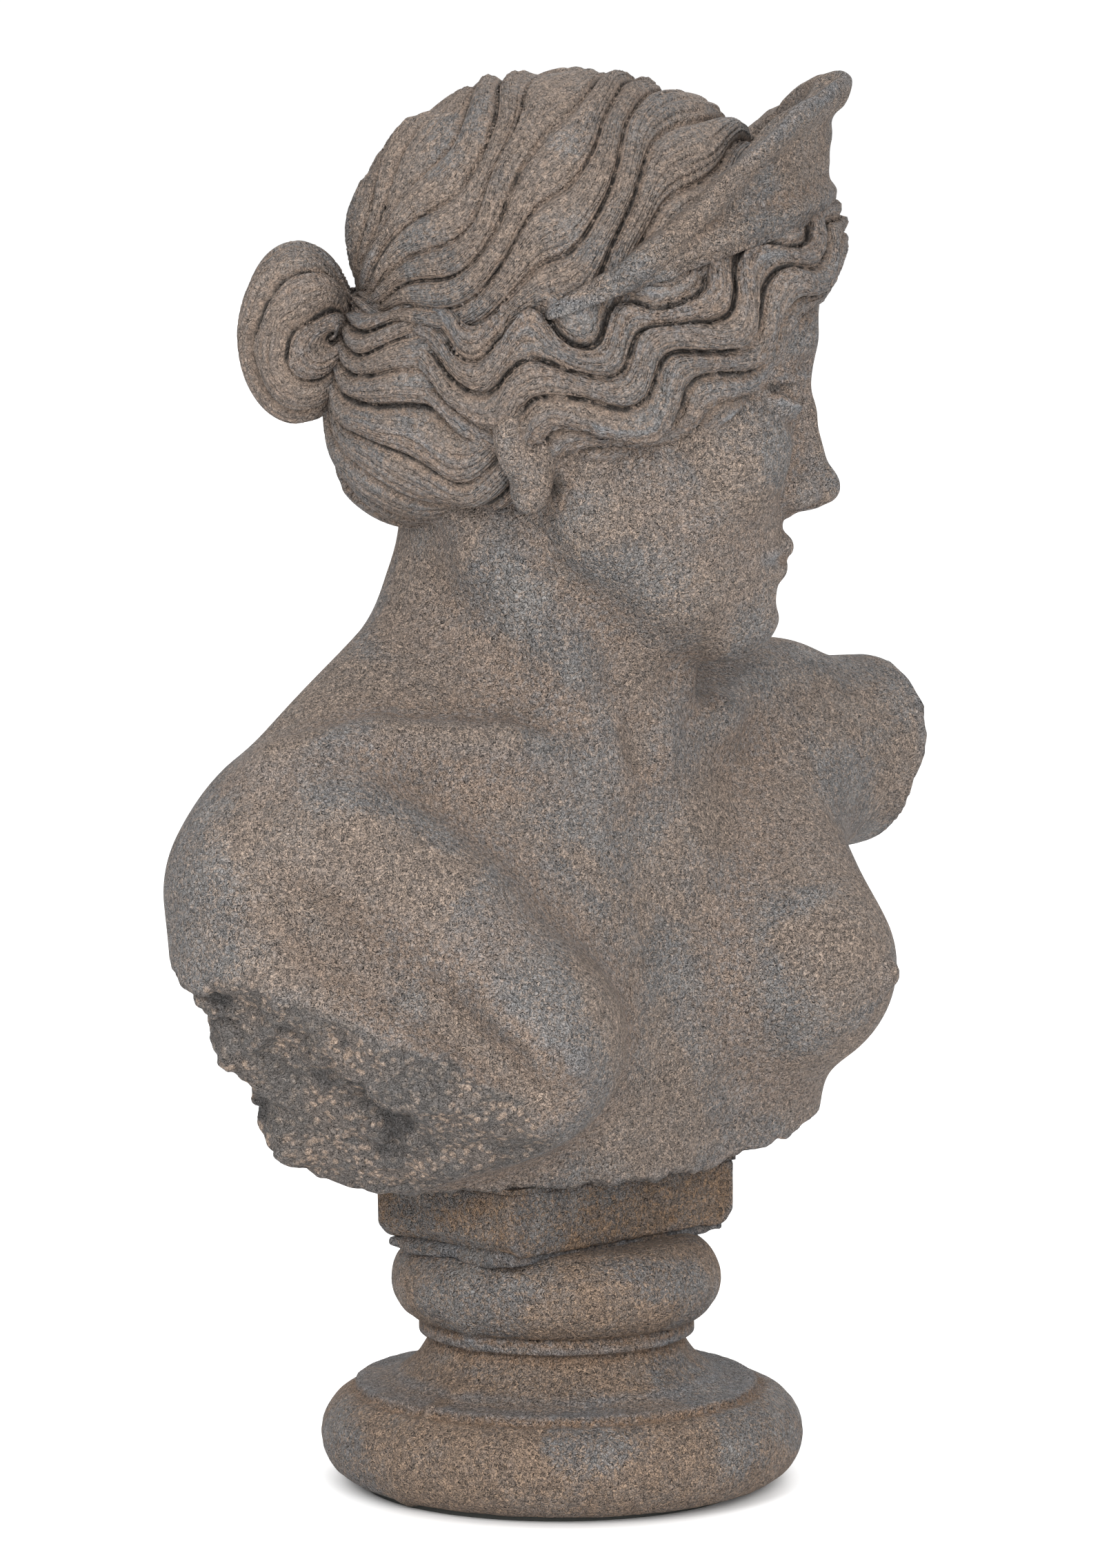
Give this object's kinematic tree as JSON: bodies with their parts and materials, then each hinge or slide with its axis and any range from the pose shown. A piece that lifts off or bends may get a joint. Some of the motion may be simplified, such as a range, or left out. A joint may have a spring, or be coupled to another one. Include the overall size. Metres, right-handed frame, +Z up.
{
  "type": "portrait bust on a turned socle",
  "caption": "Life-size stone bust of a classical figure with a turned head, knotted hair and a diadem, on a square block and a round moulded socle.",
  "frame": {"origin": "on the socle's axis, on the underside of the felt disc that the bust stands on", "axes": "+Z up; -Y the way the chest faces; +X to the figure's left, the side its head turns to"},
  "size_m": [0.377, 0.2073, 0.56],
  "materials": {
    "bust_stone": "matte",
    "block_stone": "matte",
    "socle_stone": "matte",
    "mortar": "matte",
    "felt": "matte",
    "zinc_steel": "satin"
  },
  "bodies": {
    "root": {"bust": "bust_stone", "upper_mortar_bed": "mortar", "support_block": "block_stone", "lower_mortar_bed": "mortar", "socle": "socle_stone", "base_felt": "felt", "tie_rod": "zinc_steel", "toggle_bar": "zinc_steel", "top_nut": "zinc_steel", "base_washer": "zinc_steel", "spring_washer": "zinc_steel", "base_nut": "zinc_steel"}
  },
  "joints": []
}
